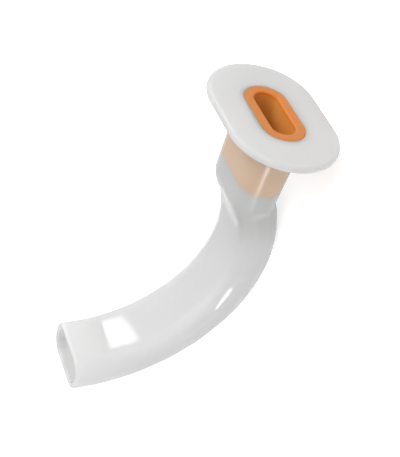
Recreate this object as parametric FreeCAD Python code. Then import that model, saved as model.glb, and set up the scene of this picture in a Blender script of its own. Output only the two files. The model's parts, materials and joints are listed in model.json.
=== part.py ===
# Oropharyngeal airway: a curved, flattened tube that holds the tongue off the back of the throat.
# It is two mouldings: a soft translucent body (flange, bite sleeve, shoulder and curved tube in one
# piece) and a rigid coloured bite block that is pressed into the mouth of the body.
#
# The airway is drawn in its own frame, in millimetres: X across the flange, Y towards the palate
# and Z out of the mouth, with Z = 0 on the outer face of the flange. The tube leaves the flange
# along -Z and curves towards -Y, the tongue side. A slope is the angle, in degrees, of the tube's
# centre line from -Z towards -Y. A section is (width, height, corner ratio), where the ratio is the
# corner radius over half the height. At the end both pieces are laid on their back, as they rest.
import FreeCAD, Part
import math
import os

# Flange: a plate with straight long sides, round corners and bowed ends, set off the bore's middle
# along Y by the offset
flange_width = 39.8
flange_height = 28.3
flange_thickness = 2.05
flange_corner_ratio = 0.97
flange_end_angle = 30.0
flange_edge_radius = 0.95
flange_offset = -0.2
flange_root_chamfer = 0.5

# Bite block: a straight tube of flattened section, tapered outside so that it wedges in its pocket
bore_width = 16.0
bore_height = 6.3
block_side_wall = 2.4
block_flat_wall = 2.65
block_corner_ratio = 0.96
block_length = 17.7
block_taper = 0.04
block_clearance = 0.02
block_rim_chamfer = 0.25

# Bite sleeve: the straight first length of the body, an even wall round the bite block
sleeve_wall = 0.62
sleeve_length = 22.6

# Shoulder: the short bend that carries the sleeve into the curved tube
shoulder_drop = 4.4
shoulder_offset = 2.1
shoulder_slope = -26.4

# Curved tube: one section along one arc, with a short straight stretch before the tip
bend_radius = 40.9
tube_width = 19.4
tube_height = 11.0
tube_corner_ratio = 0.84
tube_wall = 1.5
tip_slope = 89.0
tip_straight = 1.3
tip_outer_radius = 0.8
tip_inner_chamfer = 0.3

# Cross-sections of the lofted shoulder
lead_steps = 2
shoulder_steps = 5


def polar(centre_x, centre_y, radius, degrees):
    """Point at an angle and a radius about a centre in the XY plane."""
    angle = math.radians(degrees)
    return FreeCAD.Vector(centre_x + radius * math.cos(angle), centre_y + radius * math.sin(angle), 0)


def section_wire(section):
    """Closed outline of a section in the XY plane: four straight sides and four round corners."""
    width, height, corner_ratio = section
    radius = height / 2 * corner_ratio
    flat_x = width / 2 - radius
    flat_y = height / 2 - radius
    corners = ((flat_x, flat_y), (-flat_x, flat_y), (-flat_x, -flat_y), (flat_x, -flat_y))
    edges = []
    last = polar(flat_x, -flat_y, radius, 0)
    for index, (centre_x, centre_y) in enumerate(corners):
        first = polar(centre_x, centre_y, radius, 90 * index)
        edges.append(Part.LineSegment(last, first).toShape())
        middle = polar(centre_x, centre_y, radius, 90 * index + 45)
        last = polar(centre_x, centre_y, radius, 90 * index + 90)
        edges.append(Part.Arc(first, middle, last).toShape())
    return Part.Wire(edges)


def flange_wire():
    """Outline of the flange: each bowed end is one arc, tangent to the corner arcs beside it."""
    half_height = flange_height / 2
    corner = half_height * flange_corner_ratio
    corner_y = half_height - corner
    end_radius = corner + corner_y / math.sin(math.radians(flange_end_angle))
    end_x = flange_width / 2 - end_radius
    corner_x = end_x + (end_radius - corner) * math.cos(math.radians(flange_end_angle))
    corner_middle = (flange_end_angle + 90) / 2
    right_end = (
        polar(corner_x, -corner_y, corner, -90),
        polar(corner_x, -corner_y, corner, -corner_middle),
        polar(end_x, 0, end_radius, -flange_end_angle),
        polar(end_x, 0, end_radius, 0),
        polar(end_x, 0, end_radius, flange_end_angle),
        polar(corner_x, corner_y, corner, corner_middle),
        polar(corner_x, corner_y, corner, 90),
    )
    edges = []
    for turn in (0, 180):
        about_z = FreeCAD.Rotation(FreeCAD.Vector(0, 0, 1), turn)
        points = [about_z.multVec(point) for point in right_end]
        for start in (0, 2, 4):
            edges.append(Part.Arc(*points[start : start + 3]).toShape())
        far_corner = about_z.multVec(FreeCAD.Vector(-corner_x, half_height, 0))
        edges.append(Part.LineSegment(points[6], far_corner).toShape())
    return Part.Wire(edges)


def along(slope):
    """Unit direction of the centre line, as (y, z), at a slope."""
    angle = math.radians(slope)
    return (-math.sin(angle), -math.cos(angle))


def inward(slope):
    """Unit direction square to the centre line, as (y, z), on the inside of the bend."""
    angle = math.radians(slope)
    return (-math.cos(angle), math.sin(angle))


def moved(place, direction, distance):
    """Point (y, z) at a distance from another, along a direction."""
    return (place[0] + distance * direction[0], place[1] + distance * direction[1])


def mixed(first, last, share):
    return first + share * (last - first)


# Where the stretches of the centre line meet, as (y, z)
shoulder_start = (0.0, -sleeve_length)
bend_start = (shoulder_offset, -sleeve_length - shoulder_drop)
bend_centre = moved(bend_start, inward(shoulder_slope), bend_radius)
bend_end = moved(bend_centre, inward(tip_slope), -bend_radius)
tip_centre = moved(bend_end, along(tip_slope), tip_straight)


def shoulder_point(share):
    """Centre of the shoulder: a cubic that leaves along the sleeve and arrives along the bend."""
    reach = math.hypot(shoulder_offset, shoulder_drop)
    arrived = share * share * (3 - 2 * share)
    straight = (mixed(shoulder_start[0], bend_start[0], arrived), mixed(shoulder_start[1], bend_start[1], arrived))
    leaving = moved(straight, along(0), reach * share * (1 - share) ** 2)
    return moved(leaving, along(shoulder_slope), -reach * share * share * (1 - share))


def stations(lead_length):
    """Places of the shoulder's cross-sections, with a straight lead inside the sleeve.

    Each is (y, z, slope, blend), where blend goes from 0 in the sleeve to 1 at the tube.
    """
    places = []
    for step in range(lead_steps):
        z = -sleeve_length + lead_length * (1 - step / lead_steps)
        places.append((0.0, z, 0.0, 0.0))
    for step in range(shoulder_steps + 1):
        share = step / shoulder_steps
        blend = share * share * (3 - 2 * share)
        y, z = shoulder_point(share)
        places.append((y, z, blend * shoulder_slope, blend))
    return places


def grown(section, wall):
    """A section with a wall added all round."""
    width, height, corner_ratio = section
    return (width + 2 * wall, height + 2 * wall, corner_ratio)


def bore_section():
    return (bore_width, bore_height, block_corner_ratio)


def block_section(depth):
    """Outside of the bite block at a depth below the flange's outer face."""
    width = bore_width + 2 * block_side_wall - block_taper * depth
    height = bore_height + 2 * block_flat_wall - block_taper * depth
    return (width, height, block_corner_ratio)


def tube_section():
    return (tube_width, tube_height, tube_corner_ratio)


def outside_at(depth, blend):
    sleeve = grown(block_section(depth), sleeve_wall)
    return [mixed(first, last, blend) for first, last in zip(sleeve, tube_section())]


def inside_at(depth, blend):
    tube = grown(tube_section(), -tube_wall)
    return [mixed(first, last, blend) for first, last in zip(bore_section(), tube)]


def placed_wire(section, place, slope):
    """Outline of a section laid square to the centre line at a place."""
    wire = section_wire(section)
    turn = FreeCAD.Rotation(FreeCAD.Vector(1, 0, 0), -slope)
    wire.Placement = FreeCAD.Placement(FreeCAD.Vector(0, place[0], place[1]), turn)
    return wire


def tube_solids(section_at, lead_length, overrun):
    """One skin of the tube in three lengths: lofted shoulder, revolved bend and straight tip."""
    wires = []
    for y, z, slope, blend in stations(lead_length):
        wires.append(placed_wire(section_at(-z, blend), (y, z), slope))
    shoulder = Part.makeLoft(wires, True, False)
    section = section_at(0, 1)
    start = Part.Face(placed_wire(section, bend_start, shoulder_slope))
    axis_point = FreeCAD.Vector(0, bend_centre[0], bend_centre[1])
    bend = start.revolve(axis_point, FreeCAD.Vector(1, 0, 0), shoulder_slope - tip_slope)
    end = Part.Face(placed_wire(section, bend_end, tip_slope))
    run = moved((0, 0), along(tip_slope), tip_straight + overrun)
    tip = end.extrude(FreeCAD.Vector(0, run[0], run[1]))
    return [shoulder, bend, tip]


def tapered_plug(top, bottom, wall):
    """Solid of the bite block's outside, with a wall added, between two heights on Z."""
    wires = []
    for z in (top, bottom):
        wire = section_wire(grown(block_section(-z), wall))
        wire.translate(FreeCAD.Vector(0, 0, z))
        wires.append(wire)
    return Part.makeLoft(wires, True, True)


def straight_plug(wire, top, bottom):
    """Solid of one outline between two heights on Z."""
    face = Part.Face(wire)
    face.translate(FreeCAD.Vector(0, 0, bottom))
    return face.extrude(FreeCAD.Vector(0, 0, top - bottom))


def flat_faces(shape, point, normal):
    """Flat faces of a shape that lie in one plane."""
    found = []
    for face in shape.Faces:
        away = abs((face.CenterOfMass - point).dot(normal))
        if away < 1e-4 and abs(face.normalAt(0, 0).dot(normal)) > 0.9999:
            found.append(face)
    return found


def inner_edges(face):
    """Edges of the holes in a face."""
    edges = []
    for wire in face.Wires:
        if not wire.isSame(face.OuterWire):
            edges.extend(wire.Edges)
    return edges


def rim_radius():
    """Radius of the flange's rounded edge, which leaves a little flat between its two sides."""
    return min(flange_edge_radius, 0.49 * flange_thickness)


def make_flange():
    plate = straight_plug(flange_wire(), 0, -flange_thickness)
    plate.translate(FreeCAD.Vector(0, flange_offset, 0))
    up = FreeCAD.Vector(0, 0, 1)
    rims = flat_faces(plate, FreeCAD.Vector(0, 0, 0), up)
    rims.extend(flat_faces(plate, FreeCAD.Vector(0, 0, -flange_thickness), up))
    edges = [edge for face in rims for edge in face.Edges]
    return plate.makeFillet(rim_radius(), edges)


def make_body():
    """Flange, sleeve, shoulder and tube in one piece, with the block's pocket and the airway through."""
    up = FreeCAD.Vector(0, 0, 1)
    lead_length = (sleeve_length - block_length) / 2
    sleeve = tapered_plug(-flange_thickness / 2, -sleeve_length + lead_length, sleeve_wall)
    tube = tube_solids(outside_at, lead_length, 0)
    body = make_flange().fuse([sleeve] + tube).removeSplitter()
    underside = flat_faces(body, FreeCAD.Vector(0, 0, -flange_thickness), up)[0]
    body = body.makeChamfer(flange_root_chamfer, inner_edges(underside))
    pocket = tapered_plug(flange_thickness, -block_length, block_clearance)
    bore = section_wire(bore_section())
    throat = straight_plug(bore, -block_length + lead_length, -sleeve_length + lead_length)
    airway = throat.fuse(tube_solids(inside_at, lead_length, tube_wall)).removeSplitter()
    body = body.cut(pocket.fuse(airway))
    return round_tip(body)


def round_tip(body):
    """Rounds the outer rim of the tip and eases the inner one."""
    normal = FreeCAD.Vector(0, *along(tip_slope))
    point = FreeCAD.Vector(0, tip_centre[0], tip_centre[1])
    rim = flat_faces(body, point, normal)[0]
    body = body.makeFillet(min(tip_outer_radius, 0.6 * tube_wall), rim.OuterWire.Edges)
    rim = flat_faces(body, point, normal)[0]
    return body.makeChamfer(min(tip_inner_chamfer, 0.3 * tube_wall), inner_edges(rim))


def make_block():
    """Bite block, flush with the flange's face and seated on the floor of its pocket."""
    block = tapered_plug(0, -block_length, 0)
    bore = straight_plug(section_wire(bore_section()), flange_thickness, -block_length - flange_thickness)
    block = block.cut(bore)
    mouth = flat_faces(block, FreeCAD.Vector(0, 0, 0), FreeCAD.Vector(0, 0, 1))[0]
    return block.makeChamfer(min(block_rim_chamfer, 0.4 * block_side_wall), mouth.Edges)


def flange_reach(angle):
    """How far the flange's palate edge reaches in a direction of the (y, z) plane."""
    radius = rim_radius()
    edge_y = flange_offset + flange_height / 2 - radius
    edge_z = -radius if angle > 0 else radius - flange_thickness
    turn = math.radians(angle)
    return edge_y * math.cos(turn) + edge_z * math.sin(turn) + radius


def back_reach(angle):
    """How far the convex back of the bend reaches in the same direction, square to its slope there."""
    turn = math.radians(angle)
    back_radius = bend_radius + tube_height / 2
    return bend_centre[0] * math.cos(turn) + bend_centre[1] * math.sin(turn) + back_radius


def lying_angle():
    """Direction, in degrees from +Y towards +Z, that points down when the airway lies on its back.

    The floor then touches the flange's edge and the tube's back at once, and halving a range of
    directions finds it.
    """
    low = -tip_slope
    high = -shoulder_slope
    for halving in range(40):
        middle = (low + high) / 2
        if back_reach(middle) > flange_reach(middle):
            low = middle
        else:
            high = middle
    return middle


def lay_down(shapes):
    """Turns the pieces onto their back and sets them on Z = 0, centred over the origin."""
    about_x = FreeCAD.Rotation(FreeCAD.Vector(1, 0, 0), -90 - lying_angle())
    for shape in shapes:
        shape.Placement = FreeCAD.Placement(FreeCAD.Vector(0, 0, 0), about_x).multiply(shape.Placement)
    box = Part.makeCompound(shapes).optimalBoundingBox(False)
    shift = FreeCAD.Vector(-(box.XMin + box.XMax) / 2, -(box.YMin + box.YMax) / 2, -box.ZMin)
    for shape in shapes:
        shape.translate(shift)


body = make_body().Solids[0]
block = make_block().Solids[0]
lay_down([body, block])
os.makedirs("parts", exist_ok=True)
body.exportStep("parts/airway_body.step")
block.exportStep("parts/bite_block.step")
for name, shape in (("airway_body", body), ("bite_block", block)):
    box = shape.BoundBox
    size = "%.2f x %.2f x %.2f" % (box.XLength, box.YLength, box.ZLength)
    print(name, shape.ShapeType, len(shape.Solids), "solid", shape.isValid(), round(shape.Volume, 1), "mm3", size)
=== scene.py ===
# %% [markdown]
# # An oropharyngeal airway on a white table
# A curved, flattened tube of milky soft plastic keeps the tongue off the back of the throat. A flange
# stops it at the lips, and a coloured bite block of harder plastic sits inside its straight mouth.
# This lesson puts a smooth skin and a finish over the two solids that the maker's drawing gives, then
# sets lamps and a camera round them. The first cell loads those solids, which stay where they are. Both
# are rigid nodes on one body, because the part has no joints.

# %% Load the frame
import json
import math

import bpy
import numpy as np
from mathutils import Matrix


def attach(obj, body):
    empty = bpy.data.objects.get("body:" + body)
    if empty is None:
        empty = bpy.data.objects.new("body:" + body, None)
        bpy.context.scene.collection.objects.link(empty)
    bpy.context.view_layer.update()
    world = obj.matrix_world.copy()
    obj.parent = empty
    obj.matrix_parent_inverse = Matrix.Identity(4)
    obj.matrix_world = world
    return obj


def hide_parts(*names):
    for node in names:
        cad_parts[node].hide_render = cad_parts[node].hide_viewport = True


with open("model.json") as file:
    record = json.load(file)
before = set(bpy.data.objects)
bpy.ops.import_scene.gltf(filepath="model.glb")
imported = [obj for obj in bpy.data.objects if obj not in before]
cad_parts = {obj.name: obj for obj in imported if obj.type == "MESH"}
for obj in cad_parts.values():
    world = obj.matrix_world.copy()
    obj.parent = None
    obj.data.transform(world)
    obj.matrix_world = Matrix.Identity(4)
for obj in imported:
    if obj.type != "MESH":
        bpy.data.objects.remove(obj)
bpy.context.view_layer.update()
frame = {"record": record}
record = frame["record"]

# %% [markdown]
# ## Where the mouth of the airway is
# The drawing is made in the airway's own directions: X across the flange, Y towards the palate and Z
# out of the mouth. On the table the airway lies on its back, so these directions are turned. The
# record keeps one mount, the flange's face, with its place and direction. That is enough to carry any
# drawn point to its place on the table.

# %% From the drawing to the table
MM = 0.001

face_mount = next(mount for mount in record["mounts"] if mount["name"] == "flange_face")
out_of_mouth = np.array(face_mount["axis"], float)
out_of_mouth /= np.linalg.norm(out_of_mouth)
across = np.array([1.0, 0.0, 0.0])
to_palate = np.cross(out_of_mouth, across)
mouth_centre = np.array([0.0, face_mount["pos_m"][1], face_mount["pos_m"][2]])


def on_table(points):
    """Drawn points in millimetres, last axis (x, y, z), as metres on the table: centre + x X + y Y + z Z."""
    turned = points[..., 0:1] * across + points[..., 1:2] * to_palate + points[..., 2:3] * out_of_mouth
    return mouth_centre + MM * turned


print("mouth centre", mouth_centre.round(5), "out of the mouth", out_of_mouth.round(5))

# %% [markdown]
# ## Outlines as a rolling disc
# Every cross-section is a rounded rectangle, and the flange is a plate with bowed ends. Both can be
# written the same way: a disc's centre moves along a path while the point on its rim turns. An
# outline is then centre + radius times direction, and an outline set in or out by any amount only
# changes the radius. That makes rounded edges and even walls exact, with the same points in each ring.
# Each quarter of an outline has three stretches: half of a short side, a corner, half of a long side.

# %% Outlines
SHORT_HALF = 3
CORNER = 26
LONG_HALF = 14


def quarter_to_whole(centre, radius, angle):
    """Mirrors a quarter outline (from the X axis round to the Y axis) into all four quarters."""
    x, y = centre
    cos, sin = np.cos(angle), np.sin(angle)
    flip = slice(None, None, -1)
    centres = np.concatenate([
        np.stack([x, y], 1),
        np.stack([-x, y], 1)[flip],
        np.stack([-x, -y], 1),
        np.stack([x, -y], 1)[flip],
    ])
    normals = np.concatenate([
        np.stack([cos, sin], 1),
        np.stack([-cos, sin], 1)[flip],
        np.stack([-cos, -sin], 1),
        np.stack([cos, -sin], 1)[flip],
    ])
    radii = np.concatenate([radius, radius[flip], radius, radius[flip]])[:, None]
    return centres, radii, normals


def middles(count):
    """Shares in the middle of equal steps, so that mirrored quarters never repeat a point."""
    return (np.arange(count) + 0.5) / count


def section_outline(width, height, corner_ratio):
    """Rounded rectangle: the disc's centre stops at each corner while its direction turns 90 degrees."""
    radius = height / 2 * corner_ratio
    flat_x, flat_y = width / 2 - radius, height / 2 - radius
    turn = middles(CORNER)
    x = np.concatenate([np.full(SHORT_HALF + CORNER, flat_x), flat_x * (1 - middles(LONG_HALF))])
    y = np.concatenate([flat_y * middles(SHORT_HALF), np.full(CORNER + LONG_HALF, flat_y)])
    angle = np.concatenate([np.zeros(SHORT_HALF), turn * math.pi / 2, np.full(LONG_HALF, math.pi / 2)])
    return quarter_to_whole((x, y), np.full(len(x), radius), angle)


FLANGE_WIDTH, FLANGE_HEIGHT, FLANGE_OFFSET = 39.8, 28.3, -0.2
FLANGE_CORNER_RATIO, FLANGE_END_ANGLE = 0.97, 30.0


def flange_outline():
    """Plate with bowed ends: one wide arc at each end, then a corner arc, then a straight long side."""
    half = FLANGE_HEIGHT / 2
    corner = half * FLANGE_CORNER_RATIO
    corner_y = half - corner
    end_angle = math.radians(FLANGE_END_ANGLE)
    end_radius = corner + corner_y / math.sin(end_angle)
    end_x = FLANGE_WIDTH / 2 - end_radius
    corner_x = end_x + (end_radius - corner) * math.cos(end_angle)
    short = math.radians(5) * middles(SHORT_HALF)
    turn = math.radians(5) + (math.pi / 2 - math.radians(5)) * middles(CORNER)
    angle = np.concatenate([short, turn, np.full(LONG_HALF, math.pi / 2)])
    on_end = angle < end_angle
    x = np.where(on_end, end_x, corner_x)
    x[-LONG_HALF:] = corner_x * (1 - middles(LONG_HALF))
    y = np.where(on_end, 0.0, corner_y)
    centres, radii, normals = quarter_to_whole((x, y), np.where(on_end, end_radius, corner), angle)
    return centres + np.array([0.0, FLANGE_OFFSET]), radii, normals


def outline_points(outline, offset=0.0):
    """Points (x, y) of an outline, set out along its own normals by an offset."""
    centres, radii, normals = outline
    return centres + (radii + offset) * normals


POINTS_ROUND = len(outline_points(flange_outline()))
print("points in each ring:", POINTS_ROUND)

# %% [markdown]
# ## The centre line
# The tube follows one line: straight through the sleeve, an S-shaped shoulder, one long arc, and a
# short straight stretch to the tip. A place on it is (y, z, slope), with the slope measured from the
# direction into the mouth towards the tongue. A ring is an outline laid square to the line there.

# %% Sizes of the tube, in millimetres and degrees
FLANGE_THICKNESS, EDGE_RADIUS, ROOT_RADIUS = 2.05, 0.95, 0.6
BORE_WIDTH, BORE_HEIGHT = 16.0, 6.3
BLOCK_SIDE_WALL, BLOCK_FLAT_WALL, BLOCK_RATIO = 2.4, 2.65, 0.96
BLOCK_LENGTH, BLOCK_TAPER, CLEARANCE, BLOCK_RIM = 17.7, 0.04, 0.02, 0.35
SLEEVE_WALL, SLEEVE_LENGTH = 0.62, 22.6
SHOULDER_DROP, SHOULDER_OFFSET, SHOULDER_SLOPE = 4.4, 2.1, -26.4
BEND_RADIUS, TIP_SLOPE, TIP_STRAIGHT = 40.9, 89.0, 1.3
TUBE_SECTION, TUBE_WALL = (19.4, 11.0, 0.84), 1.5
TIP_OUTER, TIP_INNER = 0.8, 0.4


def along(slope):
    """Direction of the line, as (y, z), at a slope in degrees."""
    angle = np.radians(slope)
    return np.array([-np.sin(angle), -np.cos(angle)])


def inward(slope):
    """Direction square to the line, on the inside of the bend."""
    angle = np.radians(slope)
    return np.array([-np.cos(angle), np.sin(angle)])


shoulder_start = np.array([0.0, -SLEEVE_LENGTH])
bend_start = np.array([SHOULDER_OFFSET, -SLEEVE_LENGTH - SHOULDER_DROP])
bend_centre = bend_start + BEND_RADIUS * inward(SHOULDER_SLOPE)
bend_end = bend_centre - BEND_RADIUS * inward(TIP_SLOPE)
tip_centre = bend_end + TIP_STRAIGHT * along(TIP_SLOPE)
tube_length = BEND_RADIUS * math.radians(TIP_SLOPE - SHOULDER_SLOPE) + TIP_STRAIGHT


def shoulder_place(share):
    """Cubic from the sleeve's end, where it runs along Z, to the bend's start, where it has its slope."""
    reach = math.hypot(SHOULDER_OFFSET, SHOULDER_DROP)
    arrived = share * share * (3 - 2 * share)
    place = shoulder_start + arrived * (bend_start - shoulder_start)
    place = place + reach * share * (1 - share) ** 2 * along(0)
    place = place - reach * share * share * (1 - share) * along(SHOULDER_SLOPE)
    return place, arrived * SHOULDER_SLOPE, arrived


def bend_place(share):
    """Point of an arc about the bend's centre: centre - radius times the inward direction at that slope."""
    slope = SHOULDER_SLOPE + share * (TIP_SLOPE - SHOULDER_SLOPE)
    return bend_centre - BEND_RADIUS * inward(slope), slope, 1.0


def tip_place(share):
    """Point of the straight last stretch."""
    return bend_end + share * TIP_STRAIGHT * along(TIP_SLOPE), TIP_SLOPE, 1.0


def mixed(first, last, share):
    """Each size of one section carried a share of the way to another's."""
    return tuple(a + share * (b - a) for a, b in zip(first, last))


def grown(section, wall):
    """A section with a wall added all round."""
    return section[0] + 2 * wall, section[1] + 2 * wall, section[2]


def block_section(depth):
    """Outside of the bite block at a depth below the flange's face: it tapers so that it wedges."""
    shrink = BLOCK_TAPER * depth
    width = BORE_WIDTH + 2 * BLOCK_SIDE_WALL - shrink
    height = BORE_HEIGHT + 2 * BLOCK_FLAT_WALL - shrink
    return width, height, BLOCK_RATIO


bore_section = (BORE_WIDTH, BORE_HEIGHT, BLOCK_RATIO)


def outside_at(depth, blend):
    """Outer section: the sleeve's, blended into the tube's through the shoulder."""
    return mixed(grown(block_section(depth), SLEEVE_WALL), TUBE_SECTION, blend)


def inside_at(depth, blend):
    """Inner section: the bore's, blended into the tube's with its wall taken off."""
    return mixed(bore_section, grown(TUBE_SECTION, -TUBE_WALL), blend)


print("tube length", round(tube_length, 2), "mm, tip centre", tip_centre.round(2))

# %% [markdown]
# ## From rings to a closed skin
# A body of plastic with a hole through it is one closed skin, like a doughnut. Rings that run out over
# the flange, round its edge, down the outside, over the tip and back up the inside come home to the
# ring they started from. Joining each ring to the next gives the whole moulding with real walls, and
# no seam anywhere.

# %% Rings and skins
def laid(points, place=(0.0, 0.0), slope=0.0):
    """Ring of outline points laid square to the line: x stays X, and y runs along -inward(slope)."""
    sideways = -inward(slope)
    x, y = points[:, 0], points[:, 1]
    return np.stack([x, place[0] + y * sideways[0], place[1] + y * sideways[1]], 1)


def flat_ring(outline, offset, z):
    """Ring in a plane square to the mouth, at a height z."""
    return laid(outline_points(outline, offset), (0.0, z))


def spread(first, last, count):
    """Rings evenly spaced between two others, without the two."""
    shares = np.arange(1, count + 1) / (count + 1)
    return [first + share * (last - first) for share in shares]


def quarter_turns(count):
    """Angles from 0 to 90 degrees, both ends included."""
    return np.linspace(0, math.pi / 2, count + 1)


def skin(name, rings, sharp_degrees=35):
    """Closed skin: point k of ring j is joined to its neighbours, and the last ring to the first."""
    grid = np.stack(rings)
    ring_count, round_count = grid.shape[:2]
    ring, step = np.meshgrid(np.arange(ring_count), np.arange(round_count), indexing="ij")
    next_ring, next_step = (ring + 1) % ring_count, (step + 1) % round_count
    corners = [(ring, step), (next_ring, step), (next_ring, next_step), (ring, next_step)]
    faces = np.stack([(a * round_count + b).ravel() for a, b in corners], 1)
    mesh = bpy.data.meshes.new(name)
    mesh.from_pydata(on_table(grid).reshape(-1, 3).tolist(), [], faces.tolist())
    mesh.polygons.foreach_set("use_smooth", np.ones(len(faces), bool))
    mesh.set_sharp_from_angle(angle=math.radians(sharp_degrees))
    mesh.update()
    piece = bpy.data.objects.new(name, mesh)
    bpy.context.scene.collection.objects.link(piece)
    print(name, len(faces) * 2, "triangles")
    return piece


def signed_volume(piece):
    """Volume in cubic centimetres, above 0 if faces point out: sum of corner . (corner x corner) / 6."""
    mesh = piece.data
    mesh.calc_loop_triangles()
    corners = np.empty(len(mesh.vertices) * 3)
    mesh.vertices.foreach_get("co", corners)
    corners = corners.reshape(-1, 3)
    triangles = np.empty(len(mesh.loop_triangles) * 3, np.int32)
    mesh.loop_triangles.foreach_get("vertices", triangles)
    a, b, c = corners[triangles.reshape(-1, 3)].transpose(1, 0, 2)
    return float(np.einsum("ij,ij->i", a, np.cross(b, c)).sum() / 6 * 1e6)


# %% [markdown]
# ## The soft body
# Flange, sleeve, shoulder and tube are one moulding. The rings go round it in this order: the flange's
# face, its rounded edge, its underside, the small fillet where the sleeve starts, the sleeve, the
# shoulder, the bend, the rim of the tip, and then back through the lumen to the pocket.

# %% Flange and sleeve rings
pocket_mouth = section_outline(*grown(block_section(0), CLEARANCE))
plate = flange_outline()
MOUTH_EDGE = 0.10
EDGE_STEPS = 8


def sleeve_outline(z):
    """Outline of the sleeve at a height z, which is below 0 inside the mouth."""
    return section_outline(*outside_at(-z, 0))


face_start = flat_ring(pocket_mouth, MOUTH_EDGE, 0)
face_end = flat_ring(plate, -EDGE_RADIUS, 0)
face_rings = [face_start, *spread(face_start, face_end, 10)]
edge_rings = [
    flat_ring(plate, EDGE_RADIUS * (math.sin(a) - 1), EDGE_RADIUS * (math.cos(a) - 1))
    for a in quarter_turns(EDGE_STEPS)
] + [
    flat_ring(plate, EDGE_RADIUS * (math.cos(a) - 1), EDGE_RADIUS * (1 - math.sin(a)) - FLANGE_THICKNESS)
    for a in quarter_turns(EDGE_STEPS)
]
root_rings = [
    flat_ring(
        sleeve_outline(-FLANGE_THICKNESS),
        ROOT_RADIUS * (1 - math.sin(a)),
        ROOT_RADIUS * (math.cos(a) - 1) - FLANGE_THICKNESS,
    )
    for a in quarter_turns(6)
]
under_rings = spread(edge_rings[-1], root_rings[0], 8)
sleeve_top = -FLANGE_THICKNESS - ROOT_RADIUS
sleeve_rings = [flat_ring(sleeve_outline(z), 0, z) for z in np.linspace(sleeve_top, -SLEEVE_LENGTH, 24)[1:-1]]
print("flange and sleeve:", len(face_rings + edge_rings + under_rings + root_rings + sleeve_rings), "rings")

# %% [markdown]
# ### Along the tube and round its tip
# The outside and the inside follow the same centre line, so one function lays both, with a section of
# its own for each. The rings are close where the line bends or the section changes, because that is
# where flat faces would show. The tip's rim is rounded well outside, so that it slides over the
# tongue, and eased a little inside.


# %% Tube rings
def tube_ring(place_at, share, section_at):
    """Ring of the tube at a share of one of its stretches."""
    place, slope, blend = place_at(share)
    return laid(outline_points(section_outline(*section_at(-place[1], blend))), place, slope)


def tube_rings(section_at, shoulder_count, bend_count, tip_count, pull_back):
    """Rings from the shoulder to just short of the rim, which starts pull_back before the end plane."""
    stretches = (
        (shoulder_place, shoulder_count, 1.0),
        (bend_place, bend_count, 1.0),
        (tip_place, tip_count, 1 - pull_back / TIP_STRAIGHT),
    )
    return [
        tube_ring(place_at, share * reach, section_at)
        for place_at, count, reach in stretches
        for share in np.arange(count) / count
    ]


def rim_ring(section, offset, back):
    """Ring of the tip's rim: a section set out by an offset, a little behind the end plane."""
    points = outline_points(section_outline(*section), offset)
    return laid(points, tip_centre - back * along(TIP_SLOPE), TIP_SLOPE)


tip_inside = grown(TUBE_SECTION, -TUBE_WALL)
rim_rings = [
    rim_ring(TUBE_SECTION, TIP_OUTER * (math.cos(a) - 1), TIP_OUTER * (1 - math.sin(a)))
    for a in quarter_turns(EDGE_STEPS)
] + [
    rim_ring(tip_inside, TIP_INNER * (1 - math.sin(a)), TIP_INNER * (1 - math.cos(a)))
    for a in quarter_turns(5)
]
outer_rings = tube_rings(outside_at, 26, 110, 2, TIP_OUTER)
inner_rings = tube_rings(inside_at, 16, 70, 2, TIP_INNER)[::-1]
print("tube:", len(outer_rings), "outer and", len(inner_rings), "inner rings")

# %% [markdown]
# ### The pocket, and the rings joined
# Near the mouth the lumen opens into the pocket that holds the bite block. Its floor is a flat step,
# its wall has the block's own taper, and a hair's breadth of room is left all round. One call then
# joins every ring of the moulding.

# %% Pocket rings and the whole body
bore = section_outline(*bore_section)
pocket_floor = section_outline(*grown(block_section(BLOCK_LENGTH), CLEARANCE))
lead_rings = [flat_ring(bore, 0, z) for z in np.linspace(-SLEEVE_LENGTH, -BLOCK_LENGTH, 6)[1:]]
floor_end = flat_ring(pocket_floor, 0, -BLOCK_LENGTH)
floor_rings = [*spread(lead_rings[-1], floor_end, 2), floor_end]
wall_rings = [
    flat_ring(section_outline(*grown(block_section(-z), CLEARANCE)), 0, z)
    for z in np.linspace(-BLOCK_LENGTH, -MOUTH_EDGE, 10)[1:]
]
mouth_rings = [
    flat_ring(pocket_mouth, MOUTH_EDGE * (1 - math.cos(a)), MOUTH_EDGE * (math.sin(a) - 1))
    for a in quarter_turns(3)[1:-1]
]
body = skin("soft_body", [
    *face_rings, *edge_rings, *under_rings, *root_rings, *sleeve_rings,
    *outer_rings, *rim_rings, *inner_rings, *lead_rings, *floor_rings, *wall_rings, *mouth_rings,
])
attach(body, "root")
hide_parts("airway_body")
print("volume", round(signed_volume(body), 3), "cm3")

# %% [markdown]
# ## The bite block
# The coloured block is a short straight tube with flat ends. It is pushed in until it sits on the
# pocket's floor, and its front face is flush with the flange. Its two front edges are eased, as a
# moulding's are, and that small round is what catches the light along the ring.

# %% Block rings
block_front = section_outline(*block_section(0))


def block_ring(z):
    """Ring of the block's tapered outside at a height z."""
    return flat_ring(section_outline(*block_section(-z)), 0, z)


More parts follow.
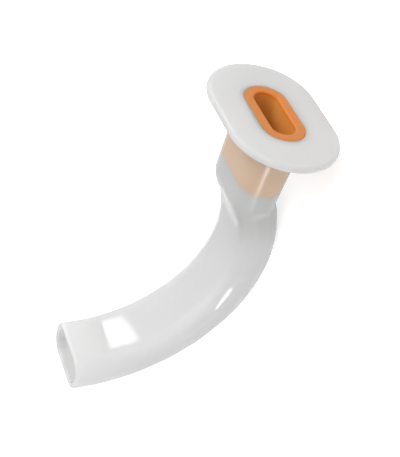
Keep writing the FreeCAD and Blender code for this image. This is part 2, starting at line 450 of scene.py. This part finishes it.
outer_wall = [block_ring(z) for z in np.linspace(-BLOCK_LENGTH, -BLOCK_RIM, 12)]
outer_round = [
    flat_ring(block_front, BLOCK_RIM * (math.cos(a) - 1), BLOCK_RIM * (math.sin(a) - 1))
    for a in quarter_turns(6)[1:]
]
inner_round = [
    flat_ring(bore, BLOCK_RIM * (1 - math.sin(a)), BLOCK_RIM * (math.cos(a) - 1)) for a in quarter_turns(6)
]
front_face = spread(outer_round[-1], inner_round[0], 4)
bore_wall = [flat_ring(bore, 0, z) for z in np.linspace(-BLOCK_RIM, -BLOCK_LENGTH, 16)[1:]]
back_face = spread(bore_wall[-1], outer_wall[0], 3)
block_rings = [*outer_wall, *outer_round, *front_face, *inner_round, *bore_wall, *back_face]
block = skin("bite_block_insert", block_rings[::-1])
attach(block, "root")
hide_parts("bite_block")
print("volume", round(signed_volume(block), 3), "cm3")

# %% [markdown]
# ## Moulded plastic
# Both mouldings share one effect: the very fine, uneven skin that a steel mould leaves, and a slow
# clouding in the plastic under it. It is a node group, so that each finish can use it at its own
# strength. It reads Object coordinates, which are metres here, so a scale of 900 is a grain of about
# a millimetre.

# %% Node helpers
GRAIN_HEIGHT = 0.2 * MM


def node(tree, kind, inputs=None, **settings):
    """Adds a node, sets its properties, and fills or links its inputs by name or number."""
    made = tree.nodes.new(kind)
    for name, value in settings.items():
        setattr(made, name, value)
    for socket, value in (inputs or {}).items():
        if isinstance(value, bpy.types.NodeSocket):
            tree.links.new(value, made.inputs[socket])
        else:
            made.inputs[socket].default_value = value
    return made


def maths(tree, operation, *values):
    """First output of a Math node, with its inputs filled or linked in order."""
    return node(tree, "ShaderNodeMath", dict(enumerate(values)), operation=operation).outputs[0]


def noise(tree, vector, scale, detail):
    """Value of a Noise Texture, around a half."""
    inputs = {"Vector": vector, "Scale": scale, "Detail": detail}
    return node(tree, "ShaderNodeTexNoise", inputs).outputs["Fac"]


def moulded_skin_group():
    """Group: clouding (0 to 1, slow) and grain height (0 to 1, fine), from Object coordinates."""
    tree = bpy.data.node_groups.new("moulded_skin", "ShaderNodeTree")
    tree.interface.new_socket("Vector", in_out="INPUT", socket_type="NodeSocketVector")
    for name in ("Clouding", "Grain"):
        tree.interface.new_socket(name, in_out="OUTPUT", socket_type="NodeSocketFloat")
    vector = node(tree, "NodeGroupInput").outputs[0]
    slow_part = maths(tree, "MULTIPLY", noise(tree, vector, 220.0, 2.0), 0.6)
    grain = maths(tree, "MULTIPLY_ADD", noise(tree, vector, 900.0, 4.0), 0.4, slow_part)
    node(tree, "NodeGroupOutput", {"Clouding": noise(tree, vector, 60.0, 2.0), "Grain": grain})
    return tree


moulded_skin = moulded_skin_group()
print("group:", moulded_skin.name)

# %% [markdown]
# ## Steps that both finishes take
# A finish starts with an empty tree, the Object coordinates and the shared group. A ramp turns a
# distance into a mask. The distance that matters here is the depth below the flange's face: it tells
# the sleeve from the tube, and the block's front from its bore.


# %% Finish helpers
def depth_below_face(tree, position):
    """Distance in metres from the flange's face into the mouth: (mouth centre - point) . outward."""
    away = node(tree, "ShaderNodeVectorMath", {0: tuple(mouth_centre), 1: position}, operation="SUBTRACT")
    return node(
        tree, "ShaderNodeVectorMath", {0: away.outputs[0], 1: tuple(out_of_mouth)}, operation="DOT_PRODUCT"
    ).outputs["Value"]


def new_material(name, colour):
    """Empty material with its tree, the Object coordinates, and the two outputs of the shared group."""
    material = bpy.data.materials.new(name)
    material.use_nodes = True
    material.diffuse_color = (*colour, 1)
    tree = material.node_tree
    tree.nodes.clear()
    position = node(tree, "ShaderNodeTexCoord").outputs["Object"]
    effect = node(tree, "ShaderNodeGroup", {}, node_tree=moulded_skin)
    tree.links.new(position, effect.inputs["Vector"])
    return material, tree, position, effect.outputs["Clouding"], effect.outputs["Grain"]


def ramp(tree, value, from_min, from_max, to_min, to_max, kind="SMOOTHSTEP"):
    """Maps a value from one range to another, held at both ends."""
    return node(tree, "ShaderNodeMapRange", {
        "Value": value, "From Min": from_min, "From Max": from_max, "To Min": to_min, "To Max": to_max,
    }, interpolation_type=kind).outputs[0]


def mixed_colour(tree, factor, first, second):
    """Colour a share of the way from the first to the second, either of them plain or linked."""
    made = node(tree, "ShaderNodeMix", {"Factor": factor}, data_type="RGBA")
    for slot, value in ((6, first), (7, second)):
        if isinstance(value, bpy.types.NodeSocket):
            tree.links.new(value, made.inputs[slot])
        else:
            made.inputs[slot].default_value = (*value, 1)
    return made.outputs[2]


def finished(piece, material, tree, grain, bump_strength, **shader_inputs):
    """Adds the bump, the Principled shader and the output, and gives the material to the piece."""
    bump = node(tree, "ShaderNodeBump", {
        "Height": grain, "Strength": bump_strength, "Distance": GRAIN_HEIGHT,
    }).outputs[0]
    inputs = {name.replace("_", " "): value for name, value in shader_inputs.items()}
    shader = node(tree, "ShaderNodeBsdfPrincipled", {"Normal": bump, **inputs})
    node(tree, "ShaderNodeOutputMaterial", {"Surface": shader.outputs[0]})
    piece.data.materials.append(material)
    print(material.name, "on", piece.name)


# %% [markdown]
# ## The milky body
# The soft plastic lets light in and scatters it, which is what subsurface does, and its skin is glossy.
# Over the block, the thin sleeve takes a pale orange from it. Real light would have to cross the wall
# to show that, which is slow and noisy, so the sleeve's own colour carries it instead, from just under
# the flange to the block's end, and subsurface is off there. Below it the shoulder is painted a little
# darker, as painted shade, and made less glossy; both fade out along the start of the bend.

# %% Milky finish
MILKY = (0.80, 0.80, 0.795)
MILKY_DEEP = (0.77, 0.77, 0.77)
# Painted shade: the shoulder's darker colour stands in for the shade that falls on it.
MILKY_NECK_SHADE = (0.63, 0.63, 0.628)
BLOCK_SHOWING = (0.75, 0.535, 0.38)
TINT_END_BLUR = 0.8 * MM
NECK_FADE_START, NECK_FADE_END = 24 * MM, 39 * MM

milky, tree, position, clouding, grain = new_material("milky_soft_plastic", MILKY)
depth = depth_below_face(tree, position)
flange_back = (FLANGE_THICKNESS + 0.05) * MM
below_flange = ramp(tree, depth, flange_back, (FLANGE_THICKNESS + ROOT_RADIUS) * MM, 0, 1)
block_end = BLOCK_LENGTH * MM
above_block_end = ramp(tree, depth, block_end - TINT_END_BLUR, block_end + TINT_END_BLUR, 1, 0)
above_bend = ramp(tree, depth, NECK_FADE_START, NECK_FADE_END, 1, 0)
showing = maths(tree, "MULTIPLY", below_flange, above_block_end)
# Mask of the shoulder's painted shade, which also makes it less glossy.
neck_shade_and_matte = maths(tree, "MULTIPLY", below_flange, above_bend)

clouded = mixed_colour(tree, clouding, MILKY, MILKY_DEEP)
gloss = ramp(tree, clouding, 0, 1, 0.03, 0.06, "LINEAR")
finished(
    body, milky, tree, grain, 0.02,
    Base_Color=mixed_colour(tree, showing, mixed_colour(tree, neck_shade_and_matte, clouded, MILKY_NECK_SHADE), BLOCK_SHOWING),
    Roughness=maths(tree, "MULTIPLY_ADD", neck_shade_and_matte, 0.15, gloss),
    IOR=1.48,
    Subsurface_Weight=maths(tree, "SUBTRACT", 1.0, showing),
    Subsurface_Radius=(1.0, 1.0, 1.0),
    Subsurface_Scale=5 * MM,
)

# %% [markdown]
# ## The orange block
# Harder plastic with a satin skin. Light bounces from wall to wall inside the bore and comes back
# redder each time. The bore is painted a little lighter and yellower than the front, a painted lift
# against that darker, redder light, so that it still looks like the same plastic there.

# %% Orange finish
ORANGE = (0.82, 0.262, 0.034)
ORANGE_DEEP = (0.79, 0.248, 0.030)
# Painted lift: the bore's lighter, yellower colour offsets the shade inside it.
ORANGE_INSIDE = (0.84, 0.385, 0.09)

orange, tree, position, clouding, grain = new_material("orange_hard_plastic", ORANGE)
below_rim = ramp(tree, depth_below_face(tree, position), 0.3 * MM, 1.2 * MM, 0, 1)
clouded = mixed_colour(tree, clouding, ORANGE, ORANGE_DEEP)
finished(
    block, orange, tree, grain, 0.08,
    Base_Color=mixed_colour(tree, below_rim, clouded, ORANGE_INSIDE),
    Roughness=ramp(tree, clouding, 0, 1, 0.38, 0.46, "LINEAR"),
    IOR=1.5,
    Subsurface_Weight=0.7,
    Subsurface_Radius=(1.0, 0.5, 0.2),
    Subsurface_Scale=3 * MM,
)

# %% [markdown]
# ## Table and surroundings
# A catalogue picture of a medical part is lit softly on white. The table is a pale floor. To the
# camera, to reflections and through clear things it also glows, just enough to look white, and the
# glow grows with distance, where less light falls. It doesn't glow for any other ray, so it lights the
# object no more than a pale floor would, and the object's shadow still shows on it. The world is made
# white in the same way.


# %% Floor and world
def staged_plane(name, half_size):
    """Square plane on the table's level, kept out of the model."""
    mesh = bpy.data.meshes.new(name)
    signs = ((-1, -1), (1, -1), (1, 1), (-1, 1))
    mesh.from_pydata([(half_size * x, half_size * y, 0) for x, y in signs], [], [(0, 1, 2, 3)])
    plane = bpy.data.objects.new(name, mesh)
    bpy.context.scene.collection.objects.link(plane)
    return plane


def seen_directly(tree):
    """1 for a ray from the camera, off a glossy surface or through a clear one, else 0."""
    path = node(tree, "ShaderNodeLightPath").outputs
    either = maths(tree, "MAXIMUM", path["Is Camera Ray"], path["Is Glossy Ray"])
    return maths(tree, "MAXIMUM", either, path["Is Transmission Ray"])


NEAR_GLOW, FAR_GLOW = 0.62, 1.0
SHADE, WHITE = 0.12, 1.0

floor = staged_plane("pale_floor", 3.0)
floor_paint = bpy.data.materials.new("pale_floor")
floor_paint.use_nodes = True
tree = floor_paint.node_tree
tree.nodes.clear()
pale = node(tree, "ShaderNodeBsdfDiffuse", {"Color": (0.85, 0.85, 0.85, 1)})
place = node(tree, "ShaderNodeTexCoord").outputs["Object"]
from_middle = node(tree, "ShaderNodeVectorMath", {0: place}, operation="LENGTH").outputs["Value"]
glow = node(tree, "ShaderNodeEmission", {"Strength": ramp(tree, from_middle, 0.15, 1.0, NEAR_GLOW, FAR_GLOW)})
white = node(tree, "ShaderNodeAddShader", {0: pale.outputs[0], 1: glow.outputs[0]})
choice = node(tree, "ShaderNodeMixShader", {0: seen_directly(tree), 1: pale.outputs[0], 2: white.outputs[0]})
node(tree, "ShaderNodeOutputMaterial", {"Surface": choice.outputs[0]})
floor.data.materials.append(floor_paint)

world = bpy.data.worlds.new("studio")
world.use_nodes = True
tree = world.node_tree
tree.nodes.clear()
level = ramp(tree, seen_directly(tree), 0, 1, SHADE, WHITE, "LINEAR")
sky = node(tree, "ShaderNodeBackground", {"Color": (1, 1, 1, 1), "Strength": level})
node(tree, "ShaderNodeOutputWorld", {"Surface": sky.outputs[0]})
bpy.context.scene.world = world
bpy.context.scene.view_settings.view_transform = "Standard"
print("floor:", floor.name, "world:", world.name)

# %% [markdown]
# ## Lamps
# Glossy plastic shows its lamps. Two of them are meant to be seen: a small tall window that makes the
# square highlight near the tip, and a narrow strip that draws a line down the tube's corner. The others
# only shape the body. Large far ones fill it evenly, and three small ones lift the tip and the bend.
# They are hidden from glossy rays, because their reflections would draw stripes along the tube.


# %% Lamp helpers
def looking(right, up, back, place):
    """Matrix of a lamp or camera from its right, up and back directions and its place."""
    return Matrix([[right[i], up[i], back[i], place[i]] for i in range(3)] + [[0, 0, 0, 1]])


def soft_lamp(name, place, target, width, height, watts, spread=180, reflected=False):
    """Rectangular lamp at a place, turned to face a target, that only shows in gloss if it is reflected."""
    data = bpy.data.lights.new(name, "AREA")
    data.shape = "RECTANGLE"
    data.size, data.size_y, data.energy = width, height, watts
    data.spread = math.radians(spread)
    lamp = bpy.data.objects.new(name, data)
    place, target = np.array(place, float), np.array(target, float)
    back = (place - target) / np.linalg.norm(place - target)
    side = np.cross((0, 0, 1), back)
    side /= np.linalg.norm(side)
    lamp.matrix_world = looking(side, np.cross(back, side), back, place)
    lamp.visible_glossy = reflected
    bpy.context.scene.collection.objects.link(lamp)
    return lamp


def direction_at(bearing, height):
    """Unit direction at a bearing round Z and a height above the table, in degrees."""
    turn, rise = math.radians(bearing), math.radians(height)
    return np.array([math.cos(rise) * math.cos(turn), math.cos(rise) * math.sin(turn), math.sin(rise)])


print("lamp helpers ready")

# %% Lamps
soft_lamp("window", (-0.206, 0.244, 0.149), (0, -0.032, 0.031), 0.033, 0.120, 0.085, reflected=True)
soft_lamp("window_spill", (-0.222, 0.264, 0.135), (0, -0.02, 0.03), 0.10, 0.13, 0.11)
soft_lamp("strip", (0.235, -0.140, 0.096), (0.01, -0.01, 0.022), 0.035, 0.095, 0.115, reflected=True)

FILL_SIZE = 0.45
fill_centre = np.array([0, 0, 0.02])
for bearing, height, watts in ((60, 42, 2.0), (120, 42, 1.85), (0, 42, 1.2), (0, 12, 0.4), (180, 42, 1.2)):
    fill_place = fill_centre + direction_at(bearing, height)
    soft_lamp("fill_%d_%d" % (bearing, height), fill_place, fill_centre, FILL_SIZE, FILL_SIZE, watts)

soft_lamp("tip_side", (0.22, -0.16, 0.14), (0.005, -0.045, 0.035), 0.10, 0.10, 0.0085, spread=50)
soft_lamp("tip_front", (0.10, 0.20, 0.20), (0, -0.045, 0.035), 0.08, 0.08, 0.0095, spread=40)
soft_lamp("bend", (-0.05, 0.12, 0.22), (0, -0.025, 0.02), 0.08, 0.08, 0.0085, spread=40)

# %% [markdown]
# ## Camera
# The camera looks down on the flange and along the tube, and it is rolled, so that the airway seems to
# hang from its flange. Three directions at right angles and a place say all of this without angles to
# untangle.

# %% Camera
camera_right = np.array([0.3426, 0.3155, -0.8849])
camera_up = np.array([-0.7054, 0.7085, -0.0205])
camera_back = np.array([0.6205, 0.6312, 0.4653])
camera_place = MM * np.array([154.43, 164.84, 136.01])

lens = bpy.data.cameras.new("camera")
lens.lens = 75.85
lens.clip_start = 0.01
lens.clip_end = 20.0
camera = bpy.data.objects.new("camera", lens)
camera.matrix_world = looking(camera_right, camera_up, camera_back, camera_place)
bpy.context.scene.collection.objects.link(camera)
bpy.context.scene.camera = camera
print("camera at", camera_place, "lens", lens.lens)
